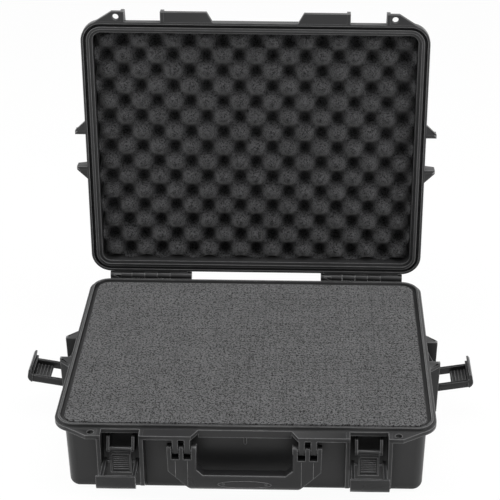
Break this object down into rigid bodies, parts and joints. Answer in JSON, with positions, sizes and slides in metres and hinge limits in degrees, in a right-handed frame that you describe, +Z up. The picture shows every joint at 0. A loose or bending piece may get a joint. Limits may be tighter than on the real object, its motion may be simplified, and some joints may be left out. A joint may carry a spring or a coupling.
{
  "type": "hard protective equipment case",
  "caption": "Open black hard-shell carrying case with a hinged lid, hooked toggle latches, a fold-down handle, egg-crate lid foam and cubed base foam.",
  "frame": {"origin": "on the table, under the centre of the tub", "axes": "+Z up, +X to the right seen from the handle side, +Y towards the hinges; the lid stands open"},
  "size_m": [0.5388, 0.459, 0.4556],
  "materials": {
    "shell_plastic": "matte",
    "moving_plastic": "satin",
    "cubed_foam": "matte",
    "lid_foam": "matte",
    "seal_rubber": "matte",
    "pin_steel": "satin"
  },
  "bodies": {
    "base": {"base_shell": "shell_plastic", "foam_pad": "cubed_foam", "foam_lower_layer": "cubed_foam", "foam_upper_layer": "cubed_foam", "hinge_pin_left": "pin_steel", "hinge_pin_right": "pin_steel", "handle_pin_left": "pin_steel", "handle_pin_right": "pin_steel", "lever_pin_front_left": "pin_steel", "lever_pin_front_right": "pin_steel", "lever_pin_side_left": "pin_steel", "lever_pin_side_right": "pin_steel"},
    "lid": {"lid_shell": "shell_plastic", "lid_seal": "seal_rubber", "lid_foam": "lid_foam"},
    "handle": {"carry_handle": "moving_plastic"},
    "lever_front_left": {"latch_lever_front_left": "moving_plastic", "bail_pin_front_left": "pin_steel"},
    "bail_front_left": {"latch_bail_front_left": "moving_plastic"},
    "lever_front_right": {"latch_lever_front_right": "moving_plastic", "bail_pin_front_right": "pin_steel"},
    "bail_front_right": {"latch_bail_front_right": "moving_plastic"},
    "lever_side_left": {"latch_lever_side_left": "moving_plastic", "bail_pin_side_left": "pin_steel"},
    "bail_side_left": {"latch_bail_side_left": "moving_plastic"},
    "lever_side_right": {"latch_lever_side_right": "moving_plastic", "bail_pin_side_right": "pin_steel"},
    "bail_side_right": {"latch_bail_side_right": "moving_plastic"}
  },
  "joints": [
    {"name": "lid_hinge", "type": "hinge", "parent": "base", "child": "lid", "pos_m": [0, 0.1777, 0.0945], "axis": [-1, 0, 0], "range_deg": [-91.7, 0]},
    {"name": "handle_pivot", "type": "hinge", "parent": "base", "child": "handle", "pos_m": [0, -0.1785, 0.0698], "axis": [-1, 0, 0], "range_deg": [0, 95]},
    {"name": "lever_front_left_pivot", "type": "hinge", "parent": "base", "child": "lever_front_left", "pos_m": [-0.1385, -0.1755, 0.0675], "axis": [-1, 0, 0], "range_deg": [0, 75]},
    {"name": "bail_front_left_pivot", "type": "hinge", "parent": "lever_front_left", "child": "bail_front_left", "pos_m": [-0.1385, -0.1745, 0.0505], "axis": [1, 0, 0], "range_deg": [-83.5, 0]},
    {"name": "lever_front_right_pivot", "type": "hinge", "parent": "base", "child": "lever_front_right", "pos_m": [0.1385, -0.1755, 0.0675], "axis": [-1, 0, 0], "range_deg": [0, 75]},
    {"name": "bail_front_right_pivot", "type": "hinge", "parent": "lever_front_right", "child": "bail_front_right", "pos_m": [0.1385, -0.1745, 0.0505], "axis": [1, 0, 0], "range_deg": [-83.5, 0]},
    {"name": "lever_side_left_pivot", "type": "hinge", "parent": "base", "child": "lever_side_left", "pos_m": [-0.22, 0, 0.0675], "axis": [0, 1, 0], "range_deg": [0, 75]},
    {"name": "bail_side_left_pivot", "type": "hinge", "parent": "lever_side_left", "child": "bail_side_left", "pos_m": [-0.219, 0, 0.0505], "axis": [0, -1, 0], "range_deg": [-75, 0]},
    {"name": "lever_side_right_pivot", "type": "hinge", "parent": "base", "child": "lever_side_right", "pos_m": [0.22, 0, 0.0675], "axis": [0, -1, 0], "range_deg": [0, 75]},
    {"name": "bail_side_right_pivot", "type": "hinge", "parent": "lever_side_right", "child": "bail_side_right", "pos_m": [0.219, 0, 0.0505], "axis": [0, 1, 0], "range_deg": [-75, 0]}
  ]
}
